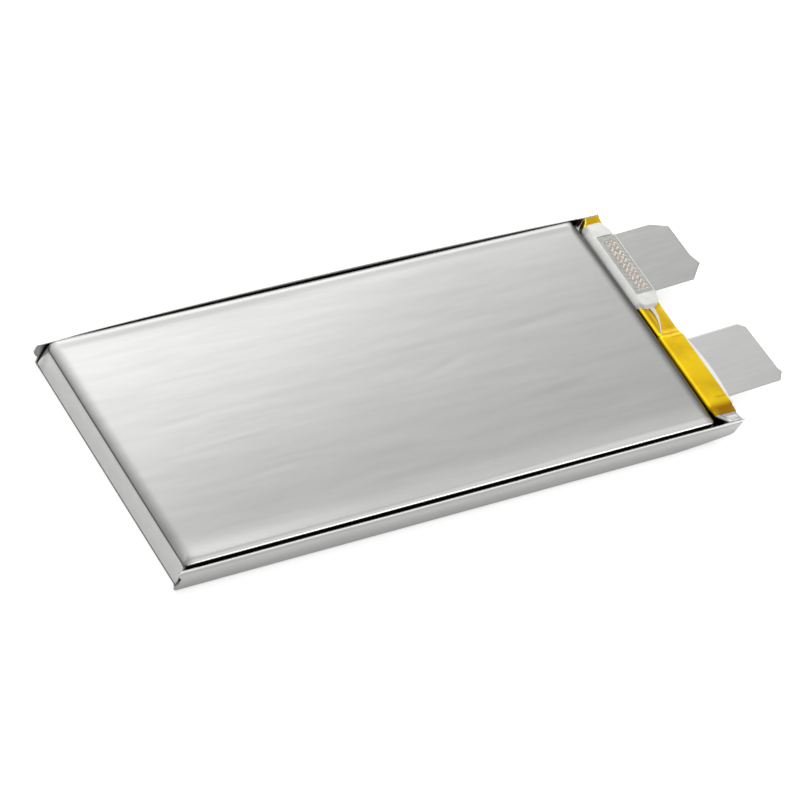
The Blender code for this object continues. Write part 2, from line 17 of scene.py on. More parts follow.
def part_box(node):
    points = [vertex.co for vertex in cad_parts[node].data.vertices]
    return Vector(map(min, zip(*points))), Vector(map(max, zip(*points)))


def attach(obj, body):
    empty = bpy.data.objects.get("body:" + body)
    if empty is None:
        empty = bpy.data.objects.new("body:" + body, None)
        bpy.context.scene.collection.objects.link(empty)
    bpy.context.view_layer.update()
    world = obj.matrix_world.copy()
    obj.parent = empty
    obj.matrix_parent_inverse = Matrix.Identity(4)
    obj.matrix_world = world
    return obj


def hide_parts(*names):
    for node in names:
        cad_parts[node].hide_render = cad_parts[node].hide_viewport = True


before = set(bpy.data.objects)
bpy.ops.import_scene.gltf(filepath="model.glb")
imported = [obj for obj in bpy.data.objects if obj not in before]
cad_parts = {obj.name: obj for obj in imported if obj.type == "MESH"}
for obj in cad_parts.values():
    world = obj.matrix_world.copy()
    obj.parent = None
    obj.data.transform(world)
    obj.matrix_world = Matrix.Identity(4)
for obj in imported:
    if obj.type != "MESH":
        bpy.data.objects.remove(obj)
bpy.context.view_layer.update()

MM = 0.001


def node_box(name):
    """A CAD node's lowest and highest corners in millimetres."""
    low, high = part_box(name)
    return low / MM, high / MM


# ---------------------------------------------------------------- places read from the frame
pouch_low, pouch_high = node_box("pouch_laminate")
nickel_low, nickel_high = node_box("nickel_extension")
copper_low, copper_high = node_box("negative_tab")

EAR = 2.0                              # the side seals' tops reach past the folded end
FOLD_X = pouch_low.x + EAR             # the folded end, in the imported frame
WALL_Y = pouch_high.y                  # outer faces of the folded side seals
WALL_END = pouch_high.x - FOLD_X       # tab end of the side seals
NICKEL_START = nickel_low.x - FOLD_X
NICKEL_TIP = nickel_high.x - FOLD_X
COPPER_TIP = copper_high.x - FOLD_X
NICKEL_LEVEL = nickel_low.z

# ---------------------------------------------------------------- film and pocket
FILM = 0.15
SEAL = 0.33                            # both films, sealed
POCKET_LENGTH = 161.4
POCKET_NEAR = 34.6                     # the pocket's near side
POCKET_FAR = 35.52                     # its far side bulges almost to the folded seal
POCKET_TOP = 8.0
END_BOW = 0.7                          # its tab end swells toward the tabs
FOLD_ROUND = 0.35                      # radius of the pouch's fold at the bottom edge
# corner radii by (end, side): end 0 is the folded end, side -1 the near side
CORNER_ROUND = {(0, -1): 1.2, (0, 1): 3.4, (1, -1): 1.2, (1, 1): 2.4}
CORNER_FOOT = 0.6                      # at the folded end the corners are sharper at the bottom
# width and depth of the rolled top edge: folded end, tab end, near side, far side
EDGE_ROLL = ((3.4, 0.8), (4.2, 1.3), (1.5, 1.3), (1.6, 0.55))

# ---------------------------------------------------------------- folded side seals
WALL_TOP = 7.45                        # rim of the near seal
WALL_BEND = 0.63                       # outer radius at the foot
FLOOR_END = 161.9
EAR_WAIST = {-1: 1.9, 1: 0.35}         # how far each ear's waist draws back
EAR_START = {-1: (0.0, 1.7), 1: (2.2, 5.6)}   # heights between which each ear grows
EAR_ROUND = 0.7                        # radius of the ears' top corners
FOOT_LIFT = 2.2                        # the seals' lower edges rise towards the tab end
FOOT_LIFT_START = 150.0
FOOT_CORNER = 0.12                     # share of the seal's height taken by its lower corner
FAR_BOW = 0.3                          # the far seal stands out in its middle
FAR_RISE = 1.15                        # and its rim rises there
CUT_SLANT = 1.6                        # slant of the seals' cut ends at the tabs
SHARP = 38.0                           # edges of the films turn sharp past this angle

# ---------------------------------------------------------------- top seal
SEAL_BEND = 1.1
TERRACE_BEND = 0.4
TERRACE_UNDERSIDE = 6.9
TERRACE_END = 169.4
TERRACE_HALF = 35.45
TAB_OFFSET = 18.0                      # tab centres, from the centre line
TAB_IN, TAB_OUT = 8.0, 28.0            # the tabs' edges, from the centre line
STRIP = 0.19                           # thickness of the tab strips
SEAL_FLAT = 12.2                       # half width of the step in the seal over each tab
SEAL_RAMP = 0.9                        # the step comes down over this distance
SEAL_INNER = -0.6                      # the top seal's films start this far before their bend
ROW_PITCH = 0.45                       # spacing of the seal's points across the cell
TAB_TOP = 0.47                         # a tab's upper face, over the lower film's underside
SEAL_STEP = 0.41                       # a tab and its sealant films lift the upper film
TAPE = 0.06
TILT = math.tan(math.radians(4.0))
TILT_START = 170.7
TILT_ROUND = 0.4                       # eases the strips into their tilt


# ---------------------------------------------------------------- small maths
def to_world(point):
    x, y, z = point
    return Vector(((x + FOLD_X) * MM, y * MM, z * MM))


def clamp(value, low=0.0, high=1.0):
    return max(low, min(high, value))


def mix(a, b, share):
    return a + (b - a) * share


def smooth(edge_a, edge_b, value):
    """0 before edge_a, 1 after edge_b, and an even S curve between."""
    t = clamp((value - edge_a) / (edge_b - edge_a))
    return t * t * (3.0 - 2.0 * t)


def ripple(x, y, seed, long_x, long_y):
    """Even noise from -1 to 1 with its own wavelength along and across the cell."""
    return noise.noise(Vector((x / long_x, y / long_y, seed * 7.31)))


def spans(*parts):
    """Grid lines from (start, end, steps) stretches that follow each other."""
    places = [parts[0][0]]
    for start, end, steps in parts:
        places += [mix(start, end, step / steps) for step in range(1, steps + 1)]
    return places


def mound(x, y, centre, size, angle):
    """A soft hump of height 1, longer one way than the other."""
    dx, dy = x - centre[0], y - centre[1]
    along = dx * math.cos(angle) + dy * math.sin(angle)
    across = dy * math.cos(angle) - dx * math.sin(angle)
    return math.exp(-(along / size[0]) ** 2 - (across / size[1]) ** 2)


# ---------------------------------------------------------------- meshes
def grid(bm, rows, flip=False):
    """Join rows of points into a surface and return its vertices."""
    verts = [[bm.verts.new(to_world(point)) for point in row] for row in rows]
    for first, second in zip(verts, verts[1:]):
        for index in range(len(first) - 1):
            corners = (first[index], first[index + 1], second[index + 1], second[index])
            bm.faces.new(corners[::-1] if flip else corners)
    return verts


def paint(bm, name, weight):
    """Store weight(x, y, z) on every point for the materials to read."""
    layer = bm.verts.layers.float.new(name)
    for vert in bm.verts:
        vert[layer] = clamp(weight(vert.co.x / MM - FOLD_X, vert.co.y / MM, vert.co.z / MM))


def add_piece(name, bm, material, replaced=(), thickness=0.0, rim=0.0, sharp=40.0):
    """Turn a bmesh into a finished piece: thickness goes inwards and rim rounds its edges."""
    mesh = bpy.data.meshes.new(name)
    bm.to_mesh(mesh)
    bm.free()
    mesh.materials.append(material)
    piece = bpy.data.objects.new(name, mesh)
    bpy.context.scene.collection.objects.link(piece)
    if thickness:
        solid = piece.modifiers.new("thickness", "SOLIDIFY")
        solid.thickness = thickness * MM
        solid.offset = -1.0
        solid.use_even_offset = True
    if rim:
        bevel = piece.modifiers.new("rim", "BEVEL")
        bevel.width = rim * MM
        bevel.segments = 2
        bevel.limit_method = "ANGLE"
        bevel.angle_limit = math.radians(55.0)
        bevel.use_clamp_overlap = True
    graph = bpy.context.evaluated_depsgraph_get()
    final = bpy.data.meshes.new_from_object(piece.evaluated_get(graph), depsgraph=graph)
    piece.modifiers.clear()
    piece.data = final
    final.name = name
    bpy.data.meshes.remove(mesh)
    final.shade_smooth()
    final.set_sharp_from_angle(angle=math.radians(sharp))
    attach(piece, "root")
    if replaced:
        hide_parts(*replaced)
    return piece


# ---------------------------------------------------------------- materials
class Look:
    """A Principled material and short ways to feed it from procedural textures."""

    def __init__(self, name, metallic, roughness, **sockets):
        self.material = bpy.data.materials.new(name)
        self.material.use_nodes = True
        self.tree = self.material.node_tree
        self.shader = self.tree.nodes["Principled BSDF"]
        self.shader.inputs["Metallic"].default_value = metallic
        self.shader.inputs["Roughness"].default_value = roughness
        for socket, value in sockets.items():
            self.shader.inputs[socket.replace("_", " ")].default_value = value
        self.place = self.node("ShaderNodeTexCoord").outputs["Object"]

    def node(self, kind, **settings):
        made = self.tree.nodes.new(kind)
        for key, value in settings.items():
            setattr(made, key, value)
        return made

    def link(self, source, target):
        self.tree.links.new(source, target)
        return self

    def grain(self, scale, detail=3.0, seed=0.0):
        """Noise with cells of size 1/scale metres along each axis."""
        mapping = self.node("ShaderNodeMapping")
        mapping.inputs["Scale"].default_value = scale
        mapping.inputs["Location"].default_value = (seed, seed, seed)
        self.link(self.place, mapping.inputs["Vector"])
        texture = self.node("ShaderNodeTexNoise")
        texture.inputs["Scale"].default_value = 1.0
        texture.inputs["Detail"].default_value = detail
        self.link(mapping.outputs["Vector"], texture.inputs["Vector"])
        return texture.outputs["Fac"]

    def mask(self, name):
        """A weight from 0 to 1 that the mesh carries for each point."""
        return self.node("ShaderNodeAttribute", attribute_name=name).outputs["Fac"]

    def ramp(self, source, stops):
        ramp = self.node("ShaderNodeValToRGB")
        while len(ramp.color_ramp.elements) < len(stops):
            ramp.color_ramp.elements.new(0.5)
        for element, (position, colour) in zip(ramp.color_ramp.elements, stops):
            element.position = position
            element.color = (*colour, 1.0)
        self.link(source, ramp.inputs["Fac"])
        return ramp.outputs["Color"]

    def blend(self, factor, first, second):
        made = self.node("ShaderNodeMix", data_type="RGBA", blend_type="MIX")
        self.link(factor, made.inputs[0])
        for socket, value in ((made.inputs[6], first), (made.inputs[7], second)):
            if isinstance(value, tuple):
                socket.default_value = (*value, 1.0)
            else:
                self.link(value, socket)
        return made.outputs[2]

    def span(self, source, low, high):
        """Rescale a 0 to 1 source to low to high."""
        made = self.node("ShaderNodeMapRange")
        made.inputs["To Min"].default_value = low
        made.inputs["To Max"].default_value = high
        self.link(source, made.inputs["Value"])
        return made.outputs["Result"]

    def colour(self, source):
        return self.link(source, self.shader.inputs["Base Color"])

    def roughness(self, source):
        return self.link(source, self.shader.inputs["Roughness"])

    def alpha(self, source):
        return self.link(source, self.shader.inputs["Alpha"])

    def bump(self, *layers):
        """Stack (height source, depth in millimetres) layers."""
        normal = None
        for source, depth in layers:
            made = self.node("ShaderNodeBump")
            made.inputs["Strength"].default_value = 1.0
            made.inputs["Distance"].default_value = depth * MM
            self.link(source, made.inputs["Height"])
            if normal:
                self.link(normal, made.inputs["Normal"])
            normal = made.outputs["Normal"]
        return self.link(normal, self.shader.inputs["Normal"])


def laminate_look():
    """Aluminium laminated film: satin nylon over foil, dark where folds shut out the light."""
    look = Look("laminate", 1.0, 0.26)
    streaks = look.grain((40.0, 420.0, 420.0), 3.0)
    cloud = look.grain((28.0, 40.0, 60.0), 2.0, 3.0)
    tone = look.ramp(streaks, ((0.3, (0.425, 0.427, 0.418)), (0.7, (0.465, 0.467, 0.458))))
    tone = look.blend(look.span(cloud, 0.0, 0.4), tone, (0.425, 0.427, 0.42))
    # painted highlight: the rim mask lightens the film toward near white along bright edges
    tone = look.blend(look.mask("rim"), tone, (0.80, 0.80, 0.79))
    # painted shade: the gap mask darkens the film toward near black where shade falls
    look.colour(look.blend(look.mask("gap"), tone, (0.03, 0.03, 0.03)))
    look.roughness(look.span(look.grain((60.0, 300.0, 300.0), 3.0, 1.0), 0.235, 0.285))
    look.bump((streaks, 0.002), (look.grain((1500.0, 2600.0, 2600.0), 2.0, 5.0), 0.0002))
    return look.material


def strip_look(name, light, dark, seed):
    """Rolled metal strip with drawing lines along it and small cloudy stains."""
    look = Look(name, 1.0, 0.32)
    lines = look.grain((60.0, 900.0, 900.0), 3.0, seed)
    stains = look.grain((110.0, 140.0, 140.0), 3.0, seed + 2.0)
    tone = look.ramp(lines, ((0.3, dark), (0.7, light)))
    look.colour(look.blend(look.span(stains, 0.0, 0.6), tone, dark))
    look.roughness(look.span(stains, 0.30, 0.40))
    look.bump((lines, 0.0006), (look.grain((2200.0, 2200.0, 2200.0), 2.0, seed), 0.001))
    return look.material


def weld_look():
    """Nickel strip whose weld mask marks the knurled, heat tinted spot pattern."""
    look = Look("nickel_welded", 1.0, 0.34)
    lines = look.grain((60.0, 900.0, 900.0), 3.0, 9.0)
    strip = look.ramp(lines, ((0.3, NICKEL_DARK), (0.7, NICKEL_LIGHT)))
    speck = look.grain((1500.0, 1500.0, 1500.0), 2.0, 4.0)
    tint = look.ramp(speck, ((0.36, (0.42, 0.36, 0.31)), (0.64, (0.62, 0.59, 0.55))))
    dents = look.blend(look.span(look.mask("dent"), 0.0, 0.7), tint, (0.25, 0.20, 0.16))
    look.colour(look.blend(look.mask("weld"), strip, dents))
    look.roughness(look.span(speck, 0.3, 0.42))
    look.bump((lines, 0.0006), (speck, 0.002))
    return look.material


def amber_look():
    """Polyimide tape over bright film; the masks mark its shaded dips and creases."""
    look = Look("amber_tape", 0.92, 0.24)
    cloud = look.grain((130.0, 160.0, 160.0), 3.0, 2.0)
    fine = look.grain((900.0, 900.0, 900.0), 2.0, 6.0)
    tone = look.ramp(cloud, ((0.32, (0.66, 0.42, 0.006)), (0.68, (0.84, 0.57, 0.008))))
    # painted shade: darker amber where the tape lies in shade
    tone = look.blend(look.mask("painted_tape_shade"), tone, (0.36, 0.17, 0.002))
    # painted shade: near black where the tape runs down into the gap beside the pocket
    look.colour(look.blend(look.mask("gap"), tone, (0.012, 0.006, 0.001)))
    look.roughness(look.span(fine, 0.28, 0.36))
    look.bump((cloud, 0.012), (fine, 0.0015))
    return look.material


def white_tape_look():
    """Thin white tape, milky where it is loose and clear where it is pressed on the metal."""
    look = Look("white_tape", 0.0, 0.25, Coat_Weight=0.3, Coat_Roughness=0.15)
    cloud = look.grain((220.0, 220.0, 220.0), 3.0, 8.0)
    look.colour(look.ramp(cloud, ((0.3, (0.62, 0.62, 0.605)), (0.7, (0.71, 0.71, 0.695)))))
    look.alpha(look.span(look.mask("milky"), 0.10, 1.0))
    look.roughness(look.span(cloud, 0.22, 0.32))
    look.bump((cloud, 0.02))
    return look.material


def film_look():
    """Milky polypropylene sealant film beside a tab."""
    look = Look("sealant_film", 0.0, 0.3, Coat_Weight=0.3)
    cloud = look.grain((300.0, 300.0, 300.0), 2.0, 5.0)
    look.colour(look.ramp(cloud, ((0.3, (0.74, 0.74, 0.73)), (0.7, (0.84, 0.84, 0.83)))))
    look.bump((cloud, 0.02))
    return look.material


def powder_look(name, light, dark, roughness, seed):
    """Even fine grain, for coated electrodes, separator and plain tape."""
    look = Look(name, 0.0, roughness)
    powder = look.grain((4000.0, 4000.0, 4000.0), 3.0, seed)
    look.colour(look.ramp(powder, ((0.35, dark), (0.65, light))))
    look.bump((powder, 0.01))
    return look.material


NICKEL_LIGHT, NICKEL_DARK = (0.39, 0.39, 0.385), (0.36, 0.36, 0.355)
LAMINATE = laminate_look()
COPPER = strip_look("plated_copper", (0.53, 0.53, 0.525), (0.49, 0.49, 0.485), 14.0)
ALUMINIUM = strip_look("aluminium_strip", (0.60, 0.60, 0.60), (0.54, 0.54, 0.54), 21.0)
WELDED = weld_look()
AMBER = amber_look()
WHITE_TAPE = white_tape_look()
SEALANT = film_look()
GREEN_TAPE = powder_look("green_tape", (0.05, 0.42, 0.16), (0.03, 0.33, 0.12), 0.35, 31.0)
SEPARATOR = powder_look("separator_film", (0.84, 0.84, 0.83), (0.76, 0.76, 0.75), 0.5, 32.0)
ANODE = powder_look("anode_coat", (0.055, 0.055, 0.06), (0.025, 0.025, 0.028), 0.6, 33.0)
CATHODE = powder_look("cathode_coat", (0.045, 0.042, 0.04), (0.015, 0.014, 0.013), 0.45, 34.0)


# ---------------------------------------------------------------- pocket
def pocket_shade(x, y, z):
    """Painted shade in the pocket's gaps, at its tab end and sharp fold, and along its far side.
    """
    gaps = smooth(7.3, 6.3, z) * smooth(0.5, 1.5, x)
    gaps *= max(smooth(2.6, 3.4, z), smooth(158.0, 156.0, x))
    tab_end = clamp((x - POCKET_LENGTH + 3.4) / 3.7) ** 1.1
    fold = 0.88 * clamp(1.0 - x / 3.6) ** 1.1 * smooth(6.6, 7.1, z) * smooth(-0.05, 0.12, x)
    soft_far_shade = 0.22 * math.exp(-((POCKET_FAR - y - 2.3) / 0.9) ** 2)
    return max(gaps, 0.97 * tab_end, fold, soft_far_shade)


# painted highlight on the pocket's near edge, with a weak painted glow further in
def near_glint(x, y, z):
    """The near edge's roll is bright in a band that widens toward the tabs, with a weak glow."""
    inset = y + POCKET_NEAR
    reach = mix(1.3, 2.9, smooth(60.0, 150.0, x))
    roll = 0.8 * smooth(reach, 0.5 * reach, inset)
    glow = 0.33 * smooth(9.0, 1.5, inset)
    return max(roll, glow) * smooth(0.1, 0.5, inset) * smooth(6.9, 7.3, z)


def to_corner(x, y, shrink=0.0):
    """Bend the square grid round the pocket's corners; also gives the four edge distances."""
    left, right = x, POCKET_LENGTH - x
    near, far = y + POCKET_NEAR, POCKET_FAR - y
    end = 0 if left < right else 1
    side = -1 if near < far else 1
    radius = CORNER_ROUND[(end, side)]
    if end == 0:
        radius = mix(radius, CORNER_FOOT, shrink)
    a, b = radius - min(left, right), radius - min(near, far)
    if a > 0 and b > 0:
        share = max(a, b) / math.hypot(a, b)
        x += (a - a * share) * (1 if end == 0 else -1)
        y += (b - b * share) * (-side)
    x += END_BOW * (1.0 - shrink) * smooth(148.0, POCKET_LENGTH, x) * (1.0 - (y / POCKET_FAR) ** 2)
    return x, y, (left, right, near, far)


# handling creases in the pocket's face: height, centre, half length and half width, angle
CREASES = (
    (0.018, (103.0, -3.0), (11.0, 0.8), 1.25),
    (-0.016, (99.0, 1.5), (9.0, 1.0), 0.25),
    (0.016, (127.0, -12.0), (16.0, 0.7), 0.12),
    (-0.014, (133.0, 8.0), (14.0, 0.9), 0.10),
    (0.016, (34.0, -4.0), (13.0, 0.6), 0.03),
    (-0.015, (22.0, 4.0), (9.0, 0.7), 0.02),
    (-0.016, (40.0, -15.0), (8.0, 0.6), 0.04),
)


def pocket_relief(x, y):
    """Soft waves, drawing streaks and a few handling creases in the pocket's flat face."""
    height = 0.10 * ripple(x, y, 1, 62.0, 40.0) + 0.009 * ripple(x, y, 2, 18.0, 11.0)
    calm = smooth(10.0, 70.0, x)
    height += mix(0.004, 0.002, calm) * ripple(x, y, 3, 22.0, 3.2)
    height += mix(0.0005, 0.002, calm) * ripple(x + 0.8 * y, y - 0.5 * x, 4, 9.0, 3.0)
    for rise, centre, size, angle in CREASES:
        height += rise * mound(x, y, centre, size, angle)
    return height


def roll_at(distances):
    """Width and depth of the rolled edge here, eased from side to side round a corner."""
    weights = [(1.0 / (distance + 0.25)) ** 3 for distance in distances]
    total = sum(weights)
    width = sum(w * roll[0] for w, roll in zip(weights, EDGE_ROLL)) / total
    depth = sum(w * roll[1] for w, roll in zip(weights, EDGE_ROLL)) / total
    return width, depth


def pocket_point(x, y):
    x, y, distances = to_corner(x, y)
    inset = min(distances)
    width, depth = roll_at(distances)
    # the near roll widens toward the tabs
    width += 0.5 * smooth(70.0, 158.0, x) * smooth(9.0, 3.0, distances[2])
    drop = depth
    if inset < width:
        drop = depth * math.sqrt(max(0.0, 1.0 - ((width - inset) / width) ** 2))
    z = POCKET_TOP - depth + drop
    crown = 0.12 * smooth(0.0, 30.0, distances[2]) * smooth(0.0, 40.0, min(distances[:2]))
    return x, y, z + crown + pocket_relief(x, y) * smooth(0.6, 5.0, inset)


def make_pocket():
    """The drawn half of the film: flat face, rolled edges, corners and the folded end face."""
    near, far = -POCKET_NEAR, POCKET_FAR
    xs = spans((0.0, 0.3, 3), (0.3, 3.4, 12), (3.4, 8.0, 5), (8.0, 154.0, 110), (154.0, 157.2, 5),
               (157.2, 161.1, 15), (161.1, POCKET_LENGTH, 3))
    ys = spans((near, near + 0.2, 3), (near + 0.2, near + 1.6, 9), (near + 1.6, -29.0, 6),
               (-29.0, 29.0, 88), (29.0, far - 2.0, 6), (far - 2.0, far - 0.2, 9),
               (far - 0.2, far, 3))
    bm = bmesh.new()
    rows = grid(bm, [[pocket_point(x, y) for y in ys] for x in xs], flip=True)
    source = [(x, ys[0]) for x in xs] + [(xs[-1], y) for y in ys[1:]]
    source += [(x, ys[-1]) for x in xs[-2::-1]] + [(xs[0], y) for y in ys[-2:0:-1]]
    loop = [row[0] for row in rows] + rows[-1][1:] + [row[-1] for row in rows[-2::-1]]
    loop += rows[0][-2:0:-1]
    tops = [vert.co.z / MM for vert in loop]
    steps = 10
    ring = loop
    for step in range(1, steps + 1):
        share = step / steps
        fresh = []
        for (x0, y0), top in zip(source, tops):
            x, y, _ = to_corner(x0, y0, share ** 0.7)
            fold = smooth(0.9, 0.2, x)
            height = mix(top, mix(SEAL, 0.0, fold), share)
            wave = 0.05 * ripple(y, height, 6, 14.0, 6.0) * math.sin(math.pi * share)
            # the film turns under at the pouch's fold
            low = max(0.0, FOLD_ROUND - height)
            turn = FOLD_ROUND - math.sqrt(max(0.0, FOLD_ROUND ** 2 - low ** 2))
            fresh.append(bm.verts.new(to_world((x + fold * (turn + 0.05 + wave), y, height))))
        count = len(loop)
        for index in range(count):
            after = (index + 1) % count
            bm.faces.new((ring[after], ring[index], fresh[index], fresh[after]))
        ring = fresh
    bmesh.ops.recalc_face_normals(bm, faces=bm.faces[:])
    # painted shade in the pocket's gaps, at its tab end, its fold and along its far side
    paint(bm, "gap", pocket_shade)
    # painted highlight along the pocket's near edge
    paint(bm, "rim", near_glint)
    add_piece("pouch_pocket", bm, LAMINATE, ("pouch_laminate",), thickness=FILM,
              sharp=SHARP)


# ---------------------------------------------------------------- floor and folded side seals
def wall_start(z, side):
    """The ear's cut end: rounded at its foot and waisted above, deeply on the near side."""
    low, high = EAR_START[side]
    grown = 1.0 - (1.0 - clamp((z - low) / (high - low))) ** 2
    waist = EAR_WAIST[side] * math.exp(-((z - high - 1.9) / 1.9) ** 2)
    return -(EAR - waist) * grown


def wall_finish(share):
    """The cut end at the tabs, for a share of the seal's height."""
    corner = 1.0 - (1.0 - clamp(share / FOOT_CORNER)) ** 2
    return FLOOR_END + (WALL_END - FLOOR_END - CUT_SLANT) * corner + CUT_SLANT * share


def wall_x(station, z, side):
    """Where a station of the seal lies at height z: the ends follow the cut outline."""
    start_zone, end_zone = 5.0, 154.0
    if station < start_zone:
        return mix(wall_start(z, side), start_zone, station / start_zone)
    if station > end_zone:
        share = (station - end_zone) / (FLOOR_END - end_zone)
        return mix(end_zone, wall_finish(z / WALL_TOP), share)
    return station


def wall_wave(x, z, side):
    """How far the seal leans in from its outer plane."""
    lean = 0.05 + 0.08 * ripple(x, z, 11 + side, 44.0, 12.0)
    lean += 0.03 * ripple(x, z, 15 + side, 9.0, 5.0)
    bow = FAR_BOW * math.sin(math.pi * clamp(x / 168.0)) if side > 0 else 0.0
    return (max(0.0, lean) - bow) * smooth(0.8, 5.0, z)


def rim_height(x, side):
    """The seals' tops, rounded at the ears; the far one stands taller in its middle."""
    near_end = clamp((EAR_ROUND - (x + EAR)) / EAR_ROUND)
    top = WALL_TOP - EAR_ROUND * (1.0 - math.sqrt(max(0.0, 1.0 - near_end ** 2)))
    if side > 0:
        top += FAR_RISE * math.sin(math.pi * clamp((x - 8.0) / 156.0)) ** 0.7
        top -= 0.5 * smooth(14.0, 0.0, x)
    return top


def below_rim(x, y, z):
    """Distance down from the rim of the seal on this side."""
    return rim_height(x, 1 if y > 0 else -1) - z


def foot_lift(x):
    return FOOT_LIFT * clamp((x - FOOT_LIFT_START) / (WALL_END - FOOT_LIFT_START)) ** 1.3


def wall_profile(radius, centre_y, centre_z, steps=8, face_steps=12):
    """(y, z) from the foot round the bend and up the face, for the side at +Y."""
    points = []
    for step in range(steps + 1):
        angle = math.pi / 2 * step / steps
        points.append((centre_y + radius * math.sin(angle), centre_z - radius * math.cos(angle)))
    top_y = points[-1][0]
    for step in range(1, face_steps + 1):
        points.append((top_y, mix(centre_z, WALL_TOP, step / face_steps)))
    return points


def seal_point(station, y, z, side):
    x = wall_x(station, z, side)
    rim = rim_height(x, side)
    outside = smooth(34.2, 35.2, y)
    height = z * mix(1.0, rim / WALL_TOP, smooth(2.0, WALL_TOP, z))
    lift = foot_lift(x) * outside * (1.0 - height / rim)
    return x, side * (y - wall_wave(x, z, side)), height + lift


STATIONS = spans((0.0, 5.0, 16), (5.0, 150.0, 96), (150.0, FLOOR_END, 28))


# painted shade on the folded side seals
def wall_shade(x, y, z):
    """The folded seals darken under their rim and toward the floor."""
    if abs(y) < WALL_Y - 1.0:
        return 0.0
    under_rim = 0.22 * math.exp(-((below_rim(x, y, z) - 0.95) / 0.3) ** 2)
    return under_rim + 0.06 + 0.34 * smooth(5.5, 0.4, z) + 0.40 * smooth(0.7, 0.3, z)


def make_base():
    """The undrawn half of the film: the flat bottom and the outer faces of both side seals."""
    bend_y = WALL_Y - WALL_BEND
    side = wall_profile(WALL_BEND, bend_y, WALL_BEND)
    floor = spans((-bend_y, bend_y, 44))[1:-1]
    bm = bmesh.new()
    rows = []
    for station in STATIONS:
        row = [seal_point(station, y, z, -1) for y, z in reversed(side)]
        row += [(max(0.1, station), y, 0.012 * max(0.0, ripple(station, y, 8, 24.0, 15.0)))
                for y in floor]
        row += [seal_point(station, y, z, 1) for y, z in side]
        rows.append(row)
    grid(bm, rows)
    # painted shade on the side seals: a little all over, more under their rims and toward the
    # floor
    paint(bm, "gap", wall_shade)
    # painted highlight along the top edge of the side seals
    paint(bm, "rim", lambda x, y, z: smooth(0.62, 0.35, below_rim(x, y, z)))
    add_piece("pouch_base", bm, LAMINATE, ("pouch_laminate",), thickness=FILM,
              rim=0.05, sharp=SHARP)


def make_side_seal(name, side):
    """The drawn half's flange, folded up with the other film."""
    gap = 0.01
    radius = WALL_BEND - FILM - gap
    bend_y = WALL_Y - WALL_BEND
    foot = [(y, FILM + gap) for y in (34.3, 34.6, 35.0)]
    profile = foot + wall_profile(radius, bend_y, WALL_BEND)
    bm = bmesh.new()
    rows = [[seal_point(station, y, z, side) for y, z in profile] for station in STATIONS]
    grid(bm, rows, flip=side < 0)
    # painted shade down the seal's inner film below its rim, in the gap beside the pocket
    paint(bm, "gap", lambda x, y, z: smooth(7.75, 7.3, z) * smooth(1.0, 5.0, x)
          * smooth(164.0, 162.5, x))
    add_piece(name, bm, LAMINATE, ("pouch_laminate",), thickness=SEAL - FILM,
              rim=0.06, sharp=SHARP)


# ---------------------------------------------------------------- top seal and its tape
def seal_path(s, offset):
    """(x, z) at distance s along the top seal's lower film and offset inwards from it."""
    quarter = math.pi / 2
    first = FLOOR_END
    if s <= 0.0:
        return first + s, offset
    if s <= SEAL_BEND * quarter:
        angle = s / SEAL_BEND
        reach = SEAL_BEND - offset
        return first + reach * math.sin(angle), SEAL_BEND - reach * math.cos(angle)
    s -= SEAL_BEND * quarter
    rise = TERRACE_UNDERSIDE - SEAL_BEND - TERRACE_BEND
    if s <= rise:
        return first + SEAL_BEND - offset, SEAL_BEND + s
    s -= rise
    centre_x = first + SEAL_BEND + TERRACE_BEND
    centre_z = TERRACE_UNDERSIDE - TERRACE_BEND
    if s <= TERRACE_BEND * quarter:
        angle = s / TERRACE_BEND
        reach = TERRACE_BEND + offset
        return centre_x - reach * math.cos(angle), centre_z + reach * math.sin(angle)
    s -= TERRACE_BEND * quarter
    return centre_x + s, TERRACE_UNDERSIDE + offset


# ends of the path's first bend, straight rise and second bend
BEND_1 = SEAL_BEND * math.pi / 2
RISE = BEND_1 + TERRACE_UNDERSIDE - SEAL_BEND - TERRACE_BEND
BEND_2 = RISE + TERRACE_BEND * math.pi / 2


def along_seal(x):
    """Distance along the seal's path to a place on the terrace."""
    return BEND_2 + x - (FLOOR_END + SEAL_BEND + TERRACE_BEND)


SEAL_LENGTH = along_seal(TERRACE_END)


def over_tab(y):
    return smooth(SEAL_FLAT + SEAL_RAMP, SEAL_FLAT, abs(abs(y) - TAB_OFFSET))


def terrace_sag(s, y):
    """The terrace droops between the tabs and beside them, behind a ridge at its inner bend."""
    behind = smooth(RISE + 0.5, BEND_2 + 1.6, s)
    middle = 0.42 * smooth(6.6, 3.4, abs(y))
    ends = 0.30 * smooth(30.6, 32.2, abs(y)) * smooth(34.6, 33.4, abs(y))
    crinkle = 0.05 * ripple(s, y, 21, 2.5, 4.0) * (1.0 - over_tab(y))
    return (middle + ends) * behind + crinkle * behind


def wing_lift(y):
    """The corners of the terrace run up the inner faces of the side seals."""
    return 0.4 * smooth(34.3, 35.5, abs(y)) ** 1.5


def terrace_point(s, y, offset, upper):
    """A point of the top seal; the upper layers climb over the tabs."""
    step = SEAL_STEP * over_tab(y) if upper else 0.0
    x, z = seal_path(s, offset + step)
    tuck = 0.7 * smooth(34.0, 35.4, abs(y)) * smooth(4.0, 2.5, z)
    y -= math.copysign(tuck, y)
    on_top = smooth(RISE, BEND_2, s)
    pull = 2.4 * smooth(31.6, 35.4, abs(y)) ** 1.3 * smooth(SEAL_LENGTH, BEND_2, s)
    return x + pull, y, z - terrace_sag(s, y) + wing_lift(y) * on_top


